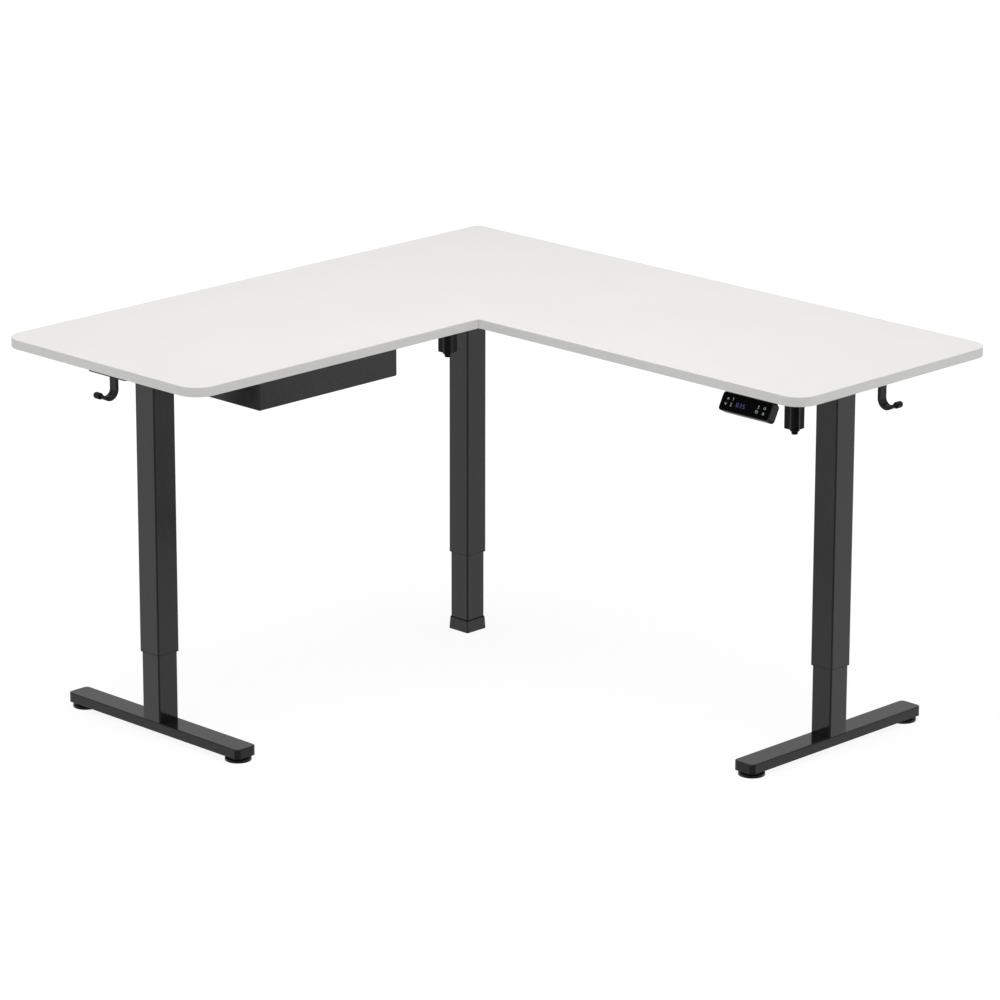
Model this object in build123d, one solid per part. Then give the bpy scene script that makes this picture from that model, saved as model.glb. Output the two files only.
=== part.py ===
from build123d import *
import math
import os

# Height adjustable L-shaped desk, shown at its sitting-standing middle height.
# Plan points x, y are measured from the outer back corner of the L: the right wing runs
# along +x, the left wing along -y, z is the height over the floor. All sizes in mm.

os.makedirs("parts", exist_ok=True)

# Worktop
WING_RIGHT = 1500.0
WING_LEFT = 1400.0
WING_DEPTH = 600.0
TOP_T = 20.0
UNDER_Z = 815.0
BAND_T = 1.0
BAND_ROUND = 0.7
END_R = 48.0
BACK_R = 14.0

# Clearances
RUN_GAP = 0.3
HOLE_GAP = 0.2
FOOT_GAP = 0.8

# Frame under the top
RAIL_H = 20.0
RAIL_W = 80.0
RAIL_WALL = 2.0
RAIL_LEFT_X = 170.0
RAIL_LEFT_END_Y = -140.0
BRACKET_W = 60.0
BRACKET_LEN = 430.0
BRACKET_TAPER = 45.0
BRACKET_TIP_H = 9.0
PLATE_T = 4.0
PLATE_R = 10.0

# Telescopic legs
LEG_LEFT_X = 297.0
LEG_LEFT_IN = 158.0
LEG_RIGHT_IN = 149.0
LEG_RIGHT_FRONT = 282.0
LEG_CORNER_X = 255.0
LEG_CORNER_BACK = 288.0
DRIVE_TURN = {"left": 135.0, "corner": -67.7, "right": 180.0}
OUTER_TUBE = 58.0
INNER_TUBE = 52.5
TUBE_WALL = 1.5
TUBE_R = 3.0
OUTER_LEN = 585.0
INNER_LEN = 590.4
BUSH_LEN = 40.0
BUSH_LIP = 2.0
NUT_PLUG = 45.0
NUT_HEAD = 12.0

# Drive unit of one leg
HOUSING_H = 24.0
HOUSING_WALL = 2.5
GEAR_MODULE = 2.0
PINION_TEETH = 14
IDLER_TEETH = 35
SPINDLE_TEETH = 28
GEAR_T = 10.0
GEAR_LIFT = 5.0
GEAR_ROOM = 2.0
BACKLASH = 0.25
SPINDLE_D = 16.0
SPINDLE_LEN = 557.0
SPINDLE_JOURNAL_D = 12.0
SPINDLE_EDGE = 1.5
COLLAR_D = 24.0
IDLER_PIN_D = 8.0
IDLER_HUB_D = 18.0
SHAFT_D = 8.0
SHAFT_LEN = 22.0
SHAFT_TOP_GAP = 0.5
MOTOR_W = 31.0
MOTOR_CORNER_R = 2.5
MOTOR_LEN = 99.0
MOTOR_EDGE = 1.0
RIB_D = 21.0
NUB_D = 14.0
NUB_DROP = 7.0
NUB_EDGE = 1.2

# Feet
BAR_LEN = 535.0
BAR_W = 54.0
BAR_H = 21.0
BAR_TOP_Z = 31.6
BAR_WALL = 2.0
BAR_END_R = 10.0
BAR_EDGE_R = 1.5
PAD_OFFSET = 240.0
PAD_R = 28.0
PAD_H = 5.5
PAD_NECK_R = 21.0
PAD_EDGE_R = 1.5
PAD_NECK_EDGE = 0.8
STUD_D = 8.0
STUD_LEN = 15.0
BOSS_D = 16.0
CAP_FOOT = 59.0
CAP_FOOT_TOP = 56.0
CAP_FOOT_H = 27.0
CAP_FLOOR = 4.0

# Drawer
DRAWER_FRONT_X = 480.0
DRAWER_DEPTH = 245.0
DRAWER_LEG_GAP = 124.0
DRAWER_JOIN_GAP = 123.0
DRAWER_H = 96.0
DRAWER_RIM_GAP = 7.0
DRAWER_WALL = 1.5
DRAWER_BEND_R = 3.0
FLANGE_W = 10.0
FLANGE_T = 2.0
RUNNER_W = 24.0
RUNNER_SLOT = 11.0
RUNNER_H = 13.0

# Handset
HANDSET_IN = 144.0
HANDSET_W = 134.0
HANDSET_TALL = 40.0
HANDSET_DEEP = 22.0
HANDSET_TILT = 28.0
HANDSET_OUT = 0.3
HANDSET_DROP = 20.8
HANDSET_R = 7.0
HANDSET_BACK_R = 3.0
FACE_T = 1.6
FACE_RIM = 2.0
FLANGE_DEEP = 34.0
FLANGE_PLATE = 3.0
FLANGE_EXTRA = 6.0
NECK_T = 6.0
NECK_IN = 8.0

# Hooks at the wing ends
HOOK_OVER = 8.0
HOOK_IN = 42.0
HOOK_LEFT_X = 304.0
HOOK_RIGHT_BACK = 300.0
HOOK_W = 19.0
HOOK_T = 7.5
HOOK_BEND = 18.0
HOOK_DROP = 63.0
HOOK_SWEEP = 120.0
HOOK_ARM = 14.0
HOOK_PLATE_LEN = 115.0
HOOK_PLATE_DEEP = 40.0
HOOK_PLATE_OUT = {"left": 38.0, "right": 18.0}
HOOK_PLATE_SIDE = {"left": 21.0, "right": 0.0}
HOOK_PLATE_T = 4.0
HOOK_PLATE_R = 4.0
HOOK_SCREW = 38.0
TIP_R = 7.0
TIP_LEN = 22.0
TIP_END_R = 5.5
TIP_UP = 1.5

# Control box
BOX_X0 = 700.0
BOX_BACK = 105.0
BOX_LEN = 220.0
BOX_DEEP = 100.0
BOX_H = 34.0
BOX_R = 6.0
EAR_W = 14.0
EAR_T = 3.0
SOCKET_W = 13.0
SOCKET_H = 10.0
SOCKET_DEEP = 9.0
INLET_W = 27.0
INLET_H = 20.0

# Joining plates and fasteners
JOIN_X = (66.0, 330.0, 530.0)
JOIN_SCREW = (18.0, 46.0)
JOIN_LEN = 120.0
JOIN_W = 36.0
JOIN_T = 3.0
JOIN_R = 6.0
SCREW_D = 4.0
SCREW_HEAD_D = 8.4
SCREW_HEAD_H = 2.6
SCREW_HEAD_R = 1.0
SCREW_DEEP = 14.0
ACCESS_D = 12.0
BOLT_D = 6.0
BOLT_HEAD_D = 11.0
BOLT_HEAD_H = 5.0
BOLT_HEAD_EDGE = 0.8
BOLT_LEN = 13.0
SCREW_HEX_R = 2.2
SCREW_HEX_H = 1.4
BOLT_HEX_R = 2.8
BOLT_HEX_H = 2.4
BRACKET_SCREW_EDGE = 25.0
BRACKET_SCREW_BACK = 75.0
BRACKET_SCREW_FRONT = 100.0
RAIL_LEFT_SCREWS = (182.0, 422.0, 702.0)
RAIL_RIGHT_SCREWS = (294.0, 594.0, 874.0)
HANDSET_SCREW = 55.0
HANDSET_SCREW_BACK = 23.0
EAR_SCREW = 22.0
RUNNER_SCREW_EDGE = 30.0
RUNNER_SEAT_UP = 5.0

# Plates over the gear housings: reach from the leg to -x, +x, -y and +y
PLATE_LEFT_REACH = (132.0, 53.0, 48.0, 104.0)
PLATE_CORNER_REACH = (165.0, 145.0, 152.0, 158.0)
PLATE_RIGHT_REACH = (154.0, 46.0, 52.0, 52.0)
LEFT_BOLT_BACK = 107.0
LEFT_BOLT_FRONT = 43.0
LEFT_BOLT_SIDE = 18.0
RIGHT_BOLT_SIDE = 20.0
RIGHT_BOLT_REACH = 44.0
RAIL_BOLT_SIDE = 20.0
RAIL_BOLT_LEFT = 52.0
RAIL_BOLT_RIGHT = 142.0
RAIL_BOLT_SPREAD = 30.0
CORNER_BOLT_LOW = 132.0
CORNER_BOLT_HIGH = 128.0
CORNER_BOLT_REACH = 125.0
CORNER_BOLT_SPREAD = 27.0

# Heights that follow from the stack
TOP_Z = UNDER_Z + TOP_T
RAIL_Z = UNDER_Z - RAIL_H
PLATE_Z = RAIL_Z - PLATE_T
HOUSING_Z = PLATE_Z - HOUSING_H
HOUSING_FLOOR_Z = HOUSING_Z + HOUSING_WALL
GEAR_Z = HOUSING_Z + GEAR_LIFT
SHAFT_TOP_Z = PLATE_Z - SHAFT_TOP_GAP
BAR_Z = BAR_TOP_Z - BAR_H
OUTER_END_Z = HOUSING_Z - OUTER_LEN
INNER_END_Z = BAR_TOP_Z + INNER_LEN
SPINDLE_END_Z = GEAR_Z - SPINDLE_LEN
DRAWER_RIM_Z = UNDER_Z - DRAWER_RIM_GAP
DRAWER_BASE_Z = DRAWER_RIM_Z - DRAWER_H
HANDSET_FACE_Z = UNDER_Z - HANDSET_DROP
HOOK_LOW_Z = UNDER_Z - HOOK_DROP

# Places that follow from the wings
LEFT_X = LEG_LEFT_X
LEFT_Y = LEG_LEFT_IN - WING_LEFT
CORNER_X = LEG_CORNER_X
CORNER_Y = -LEG_CORNER_BACK
RIGHT_X = WING_RIGHT - LEG_RIGHT_IN
RIGHT_Y = LEG_RIGHT_FRONT - WING_DEPTH
LEG_AT = {"left": (LEFT_X, LEFT_Y), "corner": (CORNER_X, CORNER_Y), "right": (RIGHT_X, RIGHT_Y)}
DRAWER_Y0 = LEFT_Y + DRAWER_LEG_GAP
DRAWER_Y1 = -WING_DEPTH - DRAWER_JOIN_GAP
HANDSET_X = WING_RIGHT - HANDSET_IN
HANDSET_FACE_Y = -WING_DEPTH - HANDSET_OUT
HOOK_RIGHT_Y = -HOOK_RIGHT_BACK
BOX_Y0 = -BOX_BACK - BOX_DEEP

# Gear sizes
PINION_R = GEAR_MODULE * PINION_TEETH / 2
IDLER_R = GEAR_MODULE * IDLER_TEETH / 2
SPINDLE_GEAR_R = GEAR_MODULE * SPINDLE_TEETH / 2
IDLER_AT = SPINDLE_GEAR_R + IDLER_R
MOTOR_AT = IDLER_AT + IDLER_R + PINION_R
ADDENDUM = 0.95 * GEAR_MODULE
DEDENDUM = 1.25 * GEAR_MODULE
PRESSURE = math.radians(20)

# The part's origin lies on the floor under the middle of the plan
ORIGIN_X = (WING_RIGHT + HOOK_OVER) / 2
ORIGIN_Y = -(WING_LEFT + HOOK_OVER) / 2


def at(x, y, z=0.0):
    """Place of a plan point at a height."""
    return Location((x - ORIGIN_X, y - ORIGIN_Y, z))


def block(x0, x1, y0, y1, z0, z1):
    """Box between two plan corners and two heights."""
    solid = Box(x1 - x0, y1 - y0, z1 - z0)
    return at((x0 + x1) / 2, (y0 + y1) / 2, (z0 + z1) / 2) * solid


def post(x, y, diameter, z0, z1):
    """Upright cylinder at a plan point."""
    return at(x, y, (z0 + z1) / 2) * Cylinder(diameter / 2, z1 - z0)


def save(node, shape):
    """Write one node as parts/NODE.step."""
    shape.label = node
    export_step(shape, f"parts/{node}.step")


def group(solids):
    """Several like solids as one node."""
    return Compound(children=list(solids))


def plan_face(points):
    """Flat face on the floor plane through plan points."""
    corners = [(x - ORIGIN_X, y - ORIGIN_Y) for x, y in points]
    return make_face(Polyline(*corners, close=True))


def rounded_plan(points, radii):
    """Plan face whose listed corners are rounded: radii maps a corner's index to its radius."""
    face = plan_face(points)
    for index, radius in radii.items():
        x, y = points[index]
        spot = Vector(x - ORIGIN_X, y - ORIGIN_Y, 0)
        corner = min(face.vertices(), key=lambda v: (Vector(v.X, v.Y, v.Z) - spot).length)
        face = fillet(corner, radius)
    return face


# Worktop boards, with the band's thickness left free along the outer edges
def board_outline(right, inset):
    """Outline of one board: the right board owns the corner, the left board butts against it."""
    if right:
        end = WING_RIGHT - inset
        points = [(inset, -WING_DEPTH), (inset, -inset), (end, -inset), (end, inset - WING_DEPTH)]
        if inset:
            points += [(WING_DEPTH, inset - WING_DEPTH), (WING_DEPTH, -WING_DEPTH)]
        return rounded_plan(points, {1: BACK_R - inset, 2: END_R - inset, 3: END_R - inset})
    end = inset - WING_LEFT
    side = WING_DEPTH - inset
    points = [(inset, -WING_DEPTH), (inset, end), (side, end), (side, -WING_DEPTH)]
    return rounded_plan(points, {1: END_R - inset, 2: END_R - inset})


def board(right, holes):
    """One board core with pilot holes from below."""
    core = Pos(0, 0, UNDER_Z) * extrude(board_outline(right, BAND_T), TOP_T)
    drills = [
        post(x, y, SCREW_D + HOLE_GAP, UNDER_Z - 1, UNDER_Z + SCREW_DEEP + 1)
        for x, y, seat in holes
        if (y > -WING_DEPTH) == right
    ]
    return core - drills


def edge_band(right):
    """Band round one board, its outer edges slightly rounded."""
    ring = board_outline(right, 0.0) - board_outline(right, BAND_T)
    band = Pos(0, 0, UNDER_Z) * extrude(ring, TOP_T)
    inner = Pos(0, 0, UNDER_Z) * extrude(board_outline(right, BAND_T), TOP_T)
    outline = board_outline(right, 0.0)
    seam_y = -WING_DEPTH - ORIGIN_Y
    rims = []
    for edge in band.edges():
        flat = abs(edge.center().Z - TOP_Z) < 0.01 or abs(edge.center().Z - UNDER_Z) < 0.01
        if not flat:
            continue
        middle = edge.position_at(0.5)
        spot = Vertex(middle.X, middle.Y, 0)
        on_rim = min(e.distance_to(spot) for e in outline.edges()) < 0.01
        across = abs(middle.Y - seam_y) < 0.01 and edge.length < 2 * BAND_T
        if on_rim and not across:
            rims.append(edge)
    return fillet(rims, BAND_ROUND) - inner


# Rails, brackets and plates
def box_section(x0, x1, y0, y1, along_x):
    """Box-section rail between plan corners, open at its ends."""
    shell = block(x0, x1, y0, y1, RAIL_Z, UNDER_Z)
    w = RAIL_WALL
    if along_x:
        return shell - block(x0 - 1, x1 + 1, y0 + w, y1 - w, RAIL_Z + w, UNDER_Z - w)
    return shell - block(x0 + w, x1 - w, y0 - 1, y1 + 1, RAIL_Z + w, UNDER_Z - w)


def side_bracket(x, y, along_x):
    """Bracket across a wing over its end leg, its underside sloping up to both tips."""
    half = BRACKET_LEN / 2
    rise = RAIL_H - BRACKET_TIP_H
    profile = [
        (-half, UNDER_Z), (half, UNDER_Z), (half, RAIL_Z + rise), (half - BRACKET_TAPER, RAIL_Z),
        (BRACKET_TAPER - half, RAIL_Z), (-half, RAIL_Z + rise),
    ]
    w = RAIL_WALL
    hollow = [
        (-half - 1, UNDER_Z - w), (half + 1, UNDER_Z - w), (half + 1, RAIL_Z + rise + w),
        (half - BRACKET_TAPER, RAIL_Z + w), (BRACKET_TAPER - half, RAIL_Z + w),
        (-half - 1, RAIL_Z + rise + w),
    ]
    shell = extrude(Plane.XZ * make_face(Polyline(*profile, close=True)), BRACKET_W / 2, both=True)
    core = extrude(Plane.XZ * make_face(Polyline(*hollow, close=True)), BRACKET_W / 2 - w, both=True)
    turn = 0 if along_x else 90
    return at(x, y) * Rot(0, 0, turn) * (shell - core)


def drilled_section(section, holes):
    """Section with screw holes in its upper wall and access holes under them."""
    cuts = []
    for x, y, seat in holes:
        cuts.append(post(x, y, SCREW_D + HOLE_GAP, RAIL_Z + RAIL_WALL + 1, UNDER_Z + 1))
        cuts.append(post(x, y, ACCESS_D, RAIL_Z - 1, UNDER_Z - RAIL_WALL - SCREW_HEAD_H - 1))
    return section - cuts


def bolt_holes(bolts, solid):
    """Bolt holes through a plate or a lower wall."""
    cuts = [post(x, y, BOLT_D + HOLE_GAP, PLATE_Z - 1, RAIL_Z + RAIL_WALL + 1) for x, y in bolts]
    return solid - cuts


def top_plate(x0, x1, y0, y1, bolts):
    """Plate over a gear housing, carrying the rails and the bracket."""
    outline = at((x0 + x1) / 2, (y0 + y1) / 2, PLATE_Z) * RectangleRounded(x1 - x0, y1 - y0, PLATE_R)
    return bolt_holes(bolts, extrude(outline, PLATE_T))


# Gears
def involute(angle):
    """Involute function of a pressure angle."""
    return math.tan(angle) - angle


def gear_face(teeth, first):
    """Involute gear outline with a tooth centred on the angle first."""
    pitch_r = GEAR_MODULE * teeth / 2
    base_r = pitch_r * math.cos(PRESSURE)
    tip_r = pitch_r + ADDENDUM
    root_r = pitch_r - DEDENDUM
    half_pitch = (math.pi * GEAR_MODULE / 2 - BACKLASH) / (2 * pitch_r)

    def half_at(radius):
        roll = math.acos(min(1.0, base_r / radius))
        return half_pitch + involute(PRESSURE) - involute(roll)

    flank = [(root_r, half_at(base_r)), (max(base_r, root_r + 0.1), half_at(max(base_r, root_r + 0.1)))]
    flank += [(pitch_r, half_at(pitch_r)), (tip_r, half_at(tip_r))]
    points = []
    for tooth in range(teeth):
        middle = first + 2 * math.pi * tooth / teeth
        points += [(r * math.cos(middle - h), r * math.sin(middle - h)) for r, h in flank]
        points += [(r * math.cos(middle + h), r * math.sin(middle + h)) for r, h in reversed(flank)]
    return make_face(Polyline(*points, close=True))


def gear(teeth, first):
    """Gear blank between the gear heights, on its own axis."""
    return Pos(0, 0, GEAR_Z) * extrude(gear_face(teeth, first), GEAR_T)


def rod(diameter, z0, z1):
    """Upright rod on the axis."""
    return Pos(0, 0, (z0 + z1) / 2) * Cylinder(diameter / 2, z1 - z0)


def tapered_slot(far, near_r, far_r):
    """Outline round two circles on the x axis and their outer tangents."""
    lean = math.asin((near_r - far_r) / far)
    s, c = math.sin(lean), math.cos(lean)
    near = [(near_r * s, near_r * c), (near_r * s, -near_r * c)]
    end = [(far + far_r * s, -far_r * c), (far + far_r * s, far_r * c)]
    return Circle(near_r) + Pos(far, 0) * Circle(far_r) + make_face(Polyline(*near, *end, close=True))


def housing_outline(grow):
    """Outline round the gear train, from the spindle at the origin to the motor along +x."""
    spindle_r = SPINDLE_GEAR_R + ADDENDUM + GEAR_ROOM + grow
    idler_r = IDLER_R + ADDENDUM + GEAR_ROOM + grow
    pinion_r = PINION_R + ADDENDUM + GEAR_ROOM + grow
    near = tapered_slot(IDLER_AT, spindle_r, idler_r)
    far = Pos(IDLER_AT, 0) * tapered_slot(MOTOR_AT - IDLER_AT, idler_r, pinion_r)
    return near + far


def gear_housing():
    """Open housing with the idler's pin, closed above by the top plate."""
    shell = Pos(0, 0, HOUSING_Z) * extrude(housing_outline(HOUSING_WALL), HOUSING_H)
    room = Pos(0, 0, HOUSING_FLOOR_Z) * extrude(housing_outline(0.0), HOUSING_H)
    seat = rod(IDLER_HUB_D, HOUSING_FLOOR_Z, GEAR_Z - RUN_GAP)
    pin = rod(IDLER_PIN_D, HOUSING_FLOOR_Z, SHAFT_TOP_Z)
    spindle_hole = rod(SPINDLE_D + 2 * RUN_GAP, HOUSING_Z - 1, HOUSING_FLOOR_Z + 1)
    shaft_hole = Pos(MOTOR_AT, 0) * rod(SHAFT_D + 2 * RUN_GAP, HOUSING_Z - 1, HOUSING_FLOOR_Z + 1)
    return shell - room - spindle_hole - shaft_hole + Pos(IDLER_AT, 0) * (seat + pin)


def motor():
    """Square gear motor hanging under the housing, with a round rib and its nub down the front corner."""
    low = HOUSING_Z - MOTOR_LEN
    can = Pos(0, 0, low) * extrude(RectangleRounded(MOTOR_W, MOTOR_W, MOTOR_CORNER_R), MOTOR_LEN)
    can = chamfer(can.faces().sort_by(Axis.Z)[0].edges(), MOTOR_EDGE)
    nub = rod(NUB_D, low - NUB_DROP, low)
    nub = chamfer(nub.faces().sort_by(Axis.Z)[0].edges(), NUB_EDGE)
    rib = rod(RIB_D, low, HOUSING_Z)
    rib = chamfer(rib.faces().sort_by(Axis.Z)[0].edges(), MOTOR_EDGE) + nub
    corner = MOTOR_W / 2 - MOTOR_CORNER_R
    bore = rod(SHAFT_D + 2 * RUN_GAP, HOUSING_Z - SHAFT_LEN - RUN_GAP, HOUSING_Z + 1)
    return can + Pos(corner, -corner) * rib - bore


def pinion(turn):
    """Pinion on the motor's shaft, a tooth pointing at the idler."""
    return gear(PINION_TEETH, turn + math.pi) + rod(SHAFT_D, HOUSING_Z - SHAFT_LEN, SHAFT_TOP_Z)


def idler(turn):
    """Idler between pinion and spindle gear, a gap facing the pinion."""
    wheel = gear(IDLER_TEETH, turn + math.pi / IDLER_TEETH)
    return wheel + rod(IDLER_HUB_D, GEAR_Z, SHAFT_TOP_Z) - rod(IDLER_PIN_D + 2 * RUN_GAP, HOUSING_Z, PLATE_Z)


def spindle(turn):
    """Lifting screw hung on its collar in the housing, with its gear on top."""
    wheel = gear(SPINDLE_TEETH, turn + math.pi / SPINDLE_TEETH)
    screw = rod(SPINDLE_D, SPINDLE_END_Z, GEAR_Z)
    screw = chamfer(screw.faces().sort_by(Axis.Z)[0].edges(), SPINDLE_EDGE)
    collar = rod(COLLAR_D, HOUSING_FLOOR_Z + RUN_GAP, GEAR_Z)
    return wheel + screw + collar + rod(SPINDLE_JOURNAL_D, GEAR_Z, SHAFT_TOP_Z)


# Telescopic tubes
def square(size, radius):
    """Square outline with rounded corners."""
    return RectangleRounded(size, size, radius)


def square_tube(size, z0, z1):
    """Square steel tube."""
    ring = square(size, TUBE_R) - square(size - 2 * TUBE_WALL, TUBE_R - TUBE_WALL)
    return Pos(0, 0, z0) * extrude(ring, z1 - z0)


def guide_bush():
    """Plastic bush in the outer tube's lower end, with a lip under the tube."""
    bore = square(INNER_TUBE + 2 * RUN_GAP, TUBE_R + RUN_GAP)
    sleeve = extrude(square(OUTER_TUBE - 2 * TUBE_WALL, TUBE_R - TUBE_WALL) - bore, BUSH_LEN)
    lip = extrude(square(OUTER_TUBE, TUBE_R) - bore, -BUSH_LIP)
    return Pos(0, 0, OUTER_END_Z) * (sleeve + lip)


def drive_nut():
    """Nut plugged into the inner tube, its head sliding in the outer tube."""
    plug_size = INNER_TUBE - 2 * TUBE_WALL
    head_size = OUTER_TUBE - 2 * TUBE_WALL - 2 * RUN_GAP
    plug = extrude(square(plug_size, TUBE_R - TUBE_WALL), -NUT_PLUG)
    head = extrude(square(head_size, TUBE_R - TUBE_WALL), NUT_HEAD)
    nut = Pos(0, 0, INNER_END_Z) * (plug + head)
    return nut - rod(SPINDLE_D + 2 * RUN_GAP, INNER_END_Z - NUT_PLUG - 1, INNER_END_Z + NUT_HEAD + 1)


# Feet
def foot_bar():
    """Pressed foot bar along x, open below, with a threaded boss over each pad."""
    bar = Pos(0, 0, BAR_Z) * extrude(RectangleRounded(BAR_LEN, BAR_W, BAR_END_R), BAR_H)
    bar = fillet(bar.faces().sort_by(Axis.Z)[-1].edges(), BAR_EDGE_R)
    w = BAR_WALL
    room = RectangleRounded(BAR_LEN - 2 * w, BAR_W - 2 * w, BAR_END_R - w)
    bar -= Pos(0, 0, BAR_Z - 1) * extrude(room, BAR_H - w + 1)
    for side in (-1, 1):
        boss = rod(BOSS_D, BAR_Z, BAR_TOP_Z - w) - rod(STUD_D + 2 * RUN_GAP, 0, BAR_TOP_Z - w)
        bar += Pos(side * PAD_OFFSET, 0) * boss
    return bar


def level_foot():
    """Two-step levelling pad on its stud."""
    neck_z = BAR_Z - FOOT_GAP
    pad = rod(2 * PAD_R, 0, PAD_H)
    pad = fillet(pad.faces().sort_by(Axis.Z)[-1].edges(), PAD_EDGE_R)
    neck = rod(2 * PAD_NECK_R, PAD_H, neck_z)
    neck = chamfer(neck.faces().sort_by(Axis.Z)[-1].edges(), PAD_NECK_EDGE)
    return pad + neck + rod(STUD_D, neck_z, neck_z + STUD_LEN)


def corner_foot():
    """Square cap foot, slightly narrower at the top, with a pocket for the tube."""
    low = square(CAP_FOOT, TUBE_R)
    high = Pos(0, 0, CAP_FOOT_H) * square(CAP_FOOT_TOP, TUBE_R)
    pocket = Pos(0, 0, CAP_FLOOR) * extrude(square(INNER_TUBE, TUBE_R), CAP_FOOT_H)
    return loft([low, high]) - pocket


# Drawer
def drawer_tray():
    """Folded steel tray with a flange along each end."""
    x0 = DRAWER_FRONT_X - DRAWER_DEPTH
    x1 = DRAWER_FRONT_X
    w = DRAWER_WALL
    shell = block(x0, x1, DRAWER_Y0, DRAWER_Y1, DRAWER_BASE_Z, DRAWER_RIM_Z)
    low = shell.faces().sort_by(Axis.Z)[0].edges()
    shell = fillet(low + shell.edges().filter_by(Axis.Z), DRAWER_BEND_R)
    room = block(x0 + w, x1 - w, DRAWER_Y0 + w, DRAWER_Y1 - w, DRAWER_BASE_Z + w, DRAWER_RIM_Z + 5)
    low = room.faces().sort_by(Axis.Z)[0].edges()
    room = fillet(low + room.edges().filter_by(Axis.Z), DRAWER_BEND_R - w)
    tray = shell - room
    slide_x = x1 - DRAWER_BEND_R
    back_x = x0 + DRAWER_BEND_R
    flange_z = DRAWER_RIM_Z - FLANGE_T
    tray += block(back_x, slide_x, DRAWER_Y0 - FLANGE_W, DRAWER_Y0 + w, flange_z, DRAWER_RIM_Z)
    tray += block(back_x, slide_x, DRAWER_Y1 - w, DRAWER_Y1 + FLANGE_W, flange_z, DRAWER_RIM_Z)
    return tray


def drawer_runner(wall_y, outward):
    """Slotted runner beside the tray: outward is the sign of y away from the tray."""
    x0 = DRAWER_FRONT_X - DRAWER_DEPTH
    near = wall_y + outward * (FLANGE_W - RUNNER_SLOT + 1)
    far = near + outward * RUNNER_W
    slot = near + outward * RUNNER_SLOT
    body = block(x0, DRAWER_FRONT_X, min(near, far), max(near, far), UNDER_Z - RUNNER_H, UNDER_Z)
    low = DRAWER_RIM_Z - FLANGE_T - RUN_GAP
    groove = block(
        x0 - 1, DRAWER_FRONT_X + 1, min(near - outward, slot), max(near - outward, slot),
        low, DRAWER_RIM_Z + RUN_GAP,
    )
    return body - groove


def runner_screw_y(wall_y, outward):
    """Screw line of a runner, midway between its slot and its outer side."""
    return wall_y + outward * (FLANGE_W + 1 + (RUNNER_W - RUNNER_SLOT) / 2)


# Handset
def tilted(solid):
    """Place a handset solid whose face lies on the plane y = 0, centred, facing -y."""
    return at(HANDSET_X, HANDSET_FACE_Y, HANDSET_FACE_Z) * Rot(-HANDSET_TILT, 0, 0) * solid


def face_outline(width, tall, radius):
    """Rounded outline on the handset's face plane."""
    return Plane.XZ * RectangleRounded(width, tall, radius)


def handset_back_y():
    """Plan y of the case's upper back corner."""
    tilt = math.radians(HANDSET_TILT)
    return HANDSET_FACE_Y + HANDSET_TALL / 2 * math.sin(tilt) + HANDSET_DEEP * math.cos(tilt)


def handset_case(holes):
    """Tilted case hung from a flange under the top."""
    case = extrude(face_outline(HANDSET_W, HANDSET_TALL, HANDSET_R), -HANDSET_DEEP)
    case = fillet(case.faces().sort_by(Axis.Y)[-1].edges(), HANDSET_BACK_R)
    pane = face_outline(HANDSET_W - 2 * FACE_RIM, HANDSET_TALL - 2 * FACE_RIM, HANDSET_R - FACE_RIM)
    case = tilted(case - extrude(pane, -FACE_T))
    half = HANDSET_W / 2
    tilt = math.radians(HANDSET_TILT)
    high_z = HANDSET_FACE_Z + HANDSET_TALL / 2 * math.cos(tilt) - HANDSET_DEEP * math.sin(tilt)
    back_y = handset_back_y()
    neck = block(
        HANDSET_X - half + HANDSET_R, HANDSET_X + half - HANDSET_R, back_y - NECK_T, back_y,
        high_z - NECK_IN, UNDER_Z,
    )
    flange = block(
        HANDSET_X - half, HANDSET_X + half + FLANGE_EXTRA, back_y - NECK_T, back_y + FLANGE_DEEP,
        UNDER_Z - FLANGE_PLATE, UNDER_Z,
    )
    cuts = [post(x, y, SCREW_D + HOLE_GAP, UNDER_Z - FLANGE_PLATE - 1, UNDER_Z + 1) for x, y, seat in holes]
    return case + neck + flange - cuts


def handset_face():
    """Gloss touch pane set flush in the case."""
    pane = face_outline(HANDSET_W - 2 * FACE_RIM, HANDSET_TALL - 2 * FACE_RIM, HANDSET_R - FACE_RIM)
    return tilted(extrude(pane, -FACE_T))


# Hooks
def hook_place(right):
    """Frame of a hook: x runs outward past the wing end, y along the end edge."""
    if right:
        return at(WING_RIGHT - HOOK_IN, HOOK_RIGHT_Y)
    return at(HOOK_LEFT_X, HOOK_IN - WING_LEFT) * Rot(0, 0, -90)


def hook_arm_end():
    """End of the hook's arm, outward from the strap and up from the floor."""
    sweep = math.radians(180 + HOOK_SWEEP)
    bend_z = HOOK_LOW_Z + HOOK_T / 2 + HOOK_BEND
    x = HOOK_BEND + HOOK_BEND * math.cos(sweep) - HOOK_ARM * math.sin(sweep)
    z = bend_z + HOOK_BEND * math.sin(sweep) + HOOK_ARM * math.cos(sweep)
    return x, z


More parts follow.
